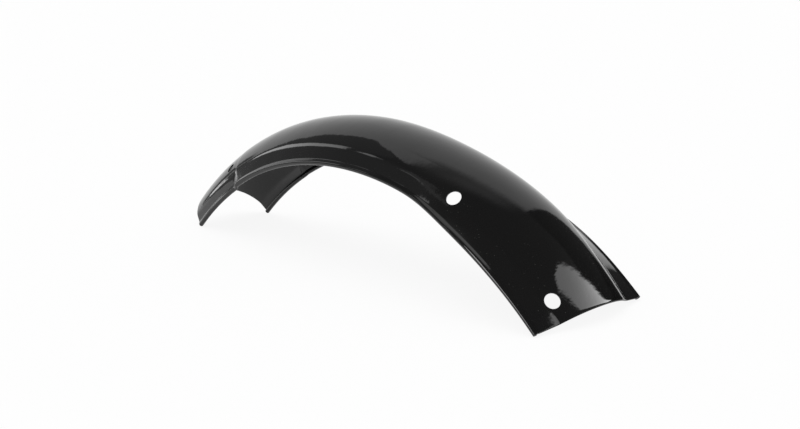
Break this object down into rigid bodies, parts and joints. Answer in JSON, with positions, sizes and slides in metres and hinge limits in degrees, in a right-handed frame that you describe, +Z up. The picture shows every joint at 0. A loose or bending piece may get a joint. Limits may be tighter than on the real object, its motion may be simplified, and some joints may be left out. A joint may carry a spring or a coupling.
{
  "type": "moped mudguard",
  "caption": "Arched sheet steel moped mudguard with a stepped deep end, a flared splash end, rolled edges and round bolt holes.",
  "frame": {"origin": "bottom centre of the part's box, on the floor that its two ends stand on", "axes": "+X along the arch towards the flared end, +Y along the wheel's axle, +Z up, away from the wheel"},
  "size_m": [0.4142, 0.1138, 0.1099],
  "materials": {
    "black_paint": "gloss black paint on pressed steel"
  },
  "bodies": {
    "root": {"mudguard": "black_paint"}
  },
  "joints": []
}
